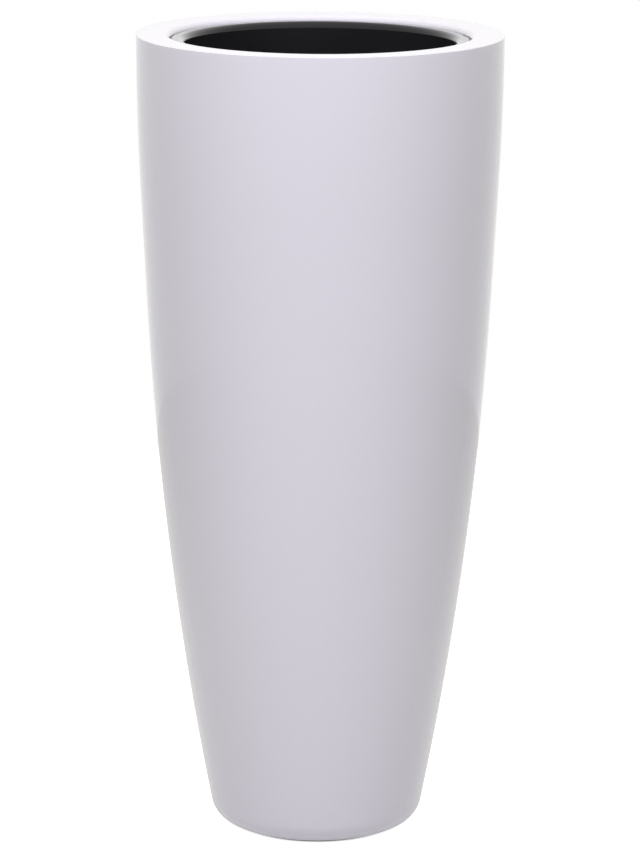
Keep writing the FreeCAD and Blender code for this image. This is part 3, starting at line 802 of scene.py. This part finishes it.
def make_laminate(finish):
    """Raw laminate inside the shell and under the rim, and on the rim's step wall foot and ledge,
    where its darkness also serves as painted shade in the gap round the liner's flange.
    """
    maker, shader = start_material("raw_laminate", Coat_Weight=0.25, Coat_Roughness=0.25)
    strands = add_group(maker, tree_named("chopped_strands", make_strand_group),
                        Strand_Width=0.0011, Strand_Length=0.028)
    lumps = add_group(maker, tree_named("surface_grain", make_grain_group),
                      Grain_Size=0.004, Wave_Size=0.03, Wave_Share=0.6)
    vary_colour(maker, shader, strands.outputs["Mask"], finish.laminate, finish.strand)
    vary_roughness(maker, shader, lumps.outputs["Mask"], lowest=0.35, spread=0.35)
    height = maker.math("MULTIPLY_ADD", strands.outputs["Height"], 0.35, lumps.outputs["Height"])
    add_bump(maker, shader, height, depth=0.0006)


def make_plastic(finish):
    """Black gloss plastic of the liner."""
    maker, shader = start_material(
        "black_plastic", Coat_Weight=1.0, Coat_Roughness=0.02, Coat_IOR=1.25, IOR=1.25)
    grain = add_group(maker, tree_named("surface_grain", make_grain_group),
                      Grain_Size=0.0012, Wave_Size=0.06, Wave_Share=0.6)
    vary_colour(maker, shader, grain.outputs["Mask"], times(finish.plastic, 0.8),
                times(finish.plastic, 1.25))
    vary_roughness(maker, shader, grain.outputs["Mask"], lowest=0.02, spread=0.06)
    add_bump(maker, shader, grain.outputs["Height"], depth=0.00001)


def make_rubber(name, base, roughness):
    """Moulded matt rubber with a fine grain and a little bloom."""
    maker, shader = start_material(name, IOR=1.5)
    grain = add_group(maker, tree_named("surface_grain", make_grain_group),
                      Grain_Size=0.0005, Wave_Size=0.006, Wave_Share=0.4)
    vary_colour(maker, shader, grain.outputs["Mask"], times(base, 0.75), times(base, 1.6))
    vary_roughness(maker, shader, grain.outputs["Mask"], lowest=roughness, spread=0.2)
    add_bump(maker, shader, grain.outputs["Height"], depth=0.00008)


def finish_named(name):
    material = bpy.data.materials.get(name)
    if material is None:
        raise RuntimeError(f"the finish {name} isn't mixed yet")
    return material


# ---------------------------------------------------------------- operators

class PLANTER_OT_mix_finishes(bpy.types.Operator):
    """Mix the lacquer, the laminate, the plastic and the rubber"""
    bl_idname = "planter.mix_finishes"
    bl_label = "Mix Finishes"

    def execute(self, context):
        finish = context.scene.planter_finish
        make_lacquer(finish)
        make_laminate(finish)
        make_plastic(finish)
        make_rubber("bung_black", finish.rubber, roughness=0.55)
        make_rubber("pad_black", times(finish.rubber, 1.6), roughness=0.65)
        return {"FINISHED"}


class PLANTER_OT_make_shell(bpy.types.Operator):
    """Turn the tapering lacquered shell"""
    bl_idname = "planter.make_shell"
    bl_label = "Make Shell"

    def execute(self, context):
        sizes = context.scene.planter_shell
        piece = make_turned("lacquered_shell", shell_outline(sizes), sizes.segments,
                            "gloss_lacquer", "raw_laminate")
        finish_piece(piece, "planter", "pearl_lacquer", "body_shell")
        return {"FINISHED"}


class PLANTER_OT_make_rim(bpy.types.Operator):
    """Turn the stepped rim ring, flush with the shell"""
    bl_idname = "planter.make_rim"
    bl_label = "Make Rim Ring"

    def execute(self, context):
        scene = context.scene
        piece = make_turned("stepped_rim", rim_outline(scene.planter_rim, scene.planter_shell),
                            scene.planter_shell.segments, "gloss_lacquer", "raw_laminate")
        finish_piece(piece, "planter", "pearl_lacquer", "rim_ring")
        return {"FINISHED"}


class PLANTER_OT_make_liner(bpy.types.Operator):
    """Turn the liner with its lifting notches, and lay the ribs on its floor"""
    bl_idname = "planter.make_liner"
    bl_label = "Make Liner"

    def execute(self, context):
        liner = context.scene.planter_liner
        centre = liner.flange_radius - liner.notch_depth + liner.notch_radius
        piece = make_turned("moulded_liner", liner_outline(liner), liner.segments,
                            "black_plastic", notch_count=liner.notch_count,
                            notch_radius=liner.notch_radius, notch_centre=centre,
                            notch_bearing=liner.notch_bearing)
        finish_piece(piece, "liner", "liner_plastic", "liner")
        ribs = make_rib(liner)
        add_tree(ribs, tree_named("spread_round", make_spread_tree), count=liner.rib_count,
                 material=finish_named("black_plastic"))
        finish_piece(ribs, "liner", "liner_plastic")
        return {"FINISHED"}


class PLANTER_OT_make_bungs(bpy.types.Operator):
    """Turn the bung of the liner and the bung of the shell"""
    bl_idname = "planter.make_bungs"
    bl_label = "Make Drain Bungs"

    def execute(self, context):
        rubber = context.scene.planter_rubber
        for name in ("liner_bung", "base_bung"):
            _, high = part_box(name)
            outline = bung_outline(rubber, high.z - rubber.head_thickness)
            piece = make_turned(name + "_rubber", outline, rubber.segments, "bung_black",
                                closed=False)
            finish_piece(piece, name, "bung_rubber", name)
        return {"FINISHED"}


class PLANTER_OT_make_pads(bpy.types.Operator):
    """Turn one foot pad and repeat it under the shell"""
    bl_idname = "planter.make_pads"
    bl_label = "Make Foot Pads"

    def execute(self, context):
        rubber = context.scene.planter_rubber
        piece = make_turned("rubber_foot_pads", pad_outline(rubber), rubber.segments, "pad_black",
                            closed=False)
        add_tree(piece, tree_named("spread_round", make_spread_tree), count=rubber.pad_count,
                 first_bearing=rubber.pad_bearing, circle_radius=rubber.pad_circle,
                 material=finish_named("pad_black"))
        finish_piece(piece, "planter", "pad_rubber", "foot_pads")
        return {"FINISHED"}


def add_camera(stage):
    """The camera that took the photo, fitted to the planter's outline."""
    lens = bpy.data.cameras.new("photo_camera")
    lens.sensor_fit = "VERTICAL"
    lens.sensor_height = 36.0
    lens.lens = stage.focal_pixels * lens.sensor_height / stage.picture_height
    lens.clip_end = 100.0
    camera = put_in_scene("photo_camera", lens)
    camera.location = (stage.camera_side, -stage.camera_distance, stage.camera_height)
    camera.rotation_mode = "XYZ"
    aim = Vector((0, math.cos(stage.camera_pitch), -math.sin(stage.camera_pitch)))
    level = aim.to_track_quat("-Z", "Y").to_matrix()
    camera.rotation_euler = (level @ Matrix.Rotation(stage.camera_roll, 3, "Z")).to_euler()
    bpy.context.scene.camera = camera


def add_surroundings(stage):
    """White for the camera, a mirror or a glass, and a weaker sky on matt surfaces."""
    world = bpy.data.worlds.new("white_surroundings")
    world.use_nodes = True
    maker = NodeTree(world.node_tree)
    sky = maker.nodes["Background"]
    path = maker.add("ShaderNodeLightPath").outputs
    shown = maker.math("MAXIMUM", path["Is Camera Ray"], path["Is Glossy Ray"])
    shown = maker.math("MAXIMUM", shown, path["Is Transmission Ray"])
    maker.feed(sky.inputs["Strength"],
               maker.math("MULTIPLY_ADD", shown, 1.0 - stage.sky_fill, stage.sky_fill))
    cast = maker.add("ShaderNodeMix", {0: shown, 6: colour(stage.sky_cast), 7: colour(WHITE)},
                     data_type="RGBA")
    maker.feed(sky.inputs["Color"], cast.outputs[2])
    bpy.context.scene.world = world


def make_floor_material(stage):
    """Floor that takes the planter's shadow, with light added to it beyond the foot; the ring
    round the foot where no light is added is a painted contact shadow, which the gloss mirrors
    too.
    """
    maker, shader = start_material("studio_floor", Roughness=0.9, Specular_IOR_Level=0.0)
    shader.inputs["Base Color"].default_value = colour([stage.floor_tone] * 3)
    shader.inputs["Emission Color"].default_value = colour(WHITE)
    path = maker.add("ShaderNodeLightPath").outputs
    mirrored = maker.math("MAXIMUM", path["Is Glossy Ray"], path["Is Transmission Ray"])
    shown = maker.math("MULTIPLY_ADD", mirrored, stage.floor_mirrored, path["Is Camera Ray"])
    where = maker.add("ShaderNodeTexCoord").outputs["Object"]
    away = maker.add("ShaderNodeVectorMath", {0: where}, operation="LENGTH")
    # no light is added inside the inner radius and only part of it up to the outer one: a painted
    # contact shadow round the foot
    lift_past_painted_shade = maker.add("ShaderNodeMapRange", {
        "Value": away.outputs["Value"], "From Min": stage.painted_shade_inner,
        "From Max": stage.painted_shade_outer, "To Max": stage.floor_lift})
    maker.feed(shader.inputs["Emission Strength"],
               maker.math("MULTIPLY", shown, lift_past_painted_shade.outputs["Result"]))


def add_floor(stage):
    make_floor_material(stage)
    mesh = bpy.data.meshes.new("studio_floor")
    edge = arc_points((0.0, 0.0), stage.floor_radius, 0.0, FULL_TURN, 96)[:-1]
    mesh.from_pydata([(x, y, 0.0) for x, y in edge], [], [tuple(range(len(edge)))])
    mesh.materials.append(finish_named("studio_floor"))
    floor = put_in_scene("studio_floor", mesh)


def add_lamp(name, watts, cast, width, depth, place, aim_height):
    """A soft lamp aimed at the axis, which lights the planter and isn't mirrored in its gloss."""
    lamp = bpy.data.lights.new(name, "AREA")
    lamp.energy = watts
    lamp.color = cast
    lamp.shape = "RECTANGLE"
    lamp.size = width
    lamp.size_y = depth
    holder = put_in_scene(name, lamp)
    holder.location = place
    aim = Vector((0.0, 0.0, aim_height)) - Vector(place)
    holder.rotation_euler = aim.to_track_quat("-Z", "Y").to_euler()
    holder.visible_glossy = False
    holder.visible_camera = False


class PLANTER_OT_set_stage(bpy.types.Operator):
    """Set the camera, the pale floor, the white surroundings and the soft lamps"""
    bl_idname = "planter.set_stage"
    bl_label = "Set Stage"

    def execute(self, context):
        stage = context.scene.planter_stage
        add_camera(stage)
        add_surroundings(stage)
        add_floor(stage)
        for name, watts, cast, width, depth, place, aim_height in (
                ("key_lamp", stage.key_power, stage.key_cast, 1.4, 1.0, (0.0, -1.4, 2.6), 0.6),
                ("left_lamp", stage.left_power, WHITE, 1.2, 1.8, (-0.9, -2.5, 1.9), 0.5),
                ("right_lamp", stage.right_power, WHITE, 1.2, 1.8, (0.9, -2.5, 1.9), 0.5),
                ("top_lamp", stage.top_power, stage.top_cast, 1.4, 1.4, (0.0, 0.1, 2.6), 0.7)):
            add_lamp(name, watts, cast, width, depth, place, aim_height)
        context.scene.view_settings.view_transform = "Standard"
        return {"FINISHED"}


class PLANTER_PT_pieces(bpy.types.Panel):
    """Lists the sizes and the makers of the planter's pieces"""
    bl_idname = "PLANTER_PT_pieces"
    bl_label = "Tall Round Planter"
    bl_space_type = "VIEW_3D"
    bl_region_type = "UI"
    bl_category = "Planter"

    def draw(self, context):
        scene = context.scene
        for group, makers in SECTIONS:
            box = self.layout.box()
            settings = getattr(scene, group)
            for key in settings.__annotations__:
                box.prop(settings, key)
            for maker in makers:
                box.operator(maker.bl_idname)


GROUPS = {
    "planter_finish": FinishSettings,
    "planter_shell": ShellSizes,
    "planter_rim": RimSizes,
    "planter_liner": LinerSizes,
    "planter_rubber": RubberSizes,
    "planter_stage": StageSettings,
}
SECTIONS = (
    ("planter_finish", (PLANTER_OT_mix_finishes,)),
    ("planter_shell", (PLANTER_OT_make_shell,)),
    ("planter_rim", (PLANTER_OT_make_rim,)),
    ("planter_liner", (PLANTER_OT_make_liner,)),
    ("planter_rubber", (PLANTER_OT_make_bungs, PLANTER_OT_make_pads)),
    ("planter_stage", (PLANTER_OT_set_stage,)),
)
CLASSES = (*GROUPS.values(), *(maker for group, makers in SECTIONS for maker in makers),
           PLANTER_PT_pieces)


def register():
    for item in CLASSES:
        bpy.utils.register_class(item)
    for name, group in GROUPS.items():
        setattr(bpy.types.Scene, name, PointerProperty(type=group))


def unregister():
    for name in GROUPS:
        delattr(bpy.types.Scene, name)
    for item in reversed(CLASSES):
        bpy.utils.unregister_class(item)


def main():
    register()
    bpy.ops.planter.mix_finishes()
    bpy.ops.planter.make_shell()
    bpy.ops.planter.make_rim()
    bpy.ops.planter.make_liner()
    bpy.ops.planter.make_bungs()
    bpy.ops.planter.make_pads()
    bpy.ops.planter.set_stage()


if __name__ == "__main__":
    main()
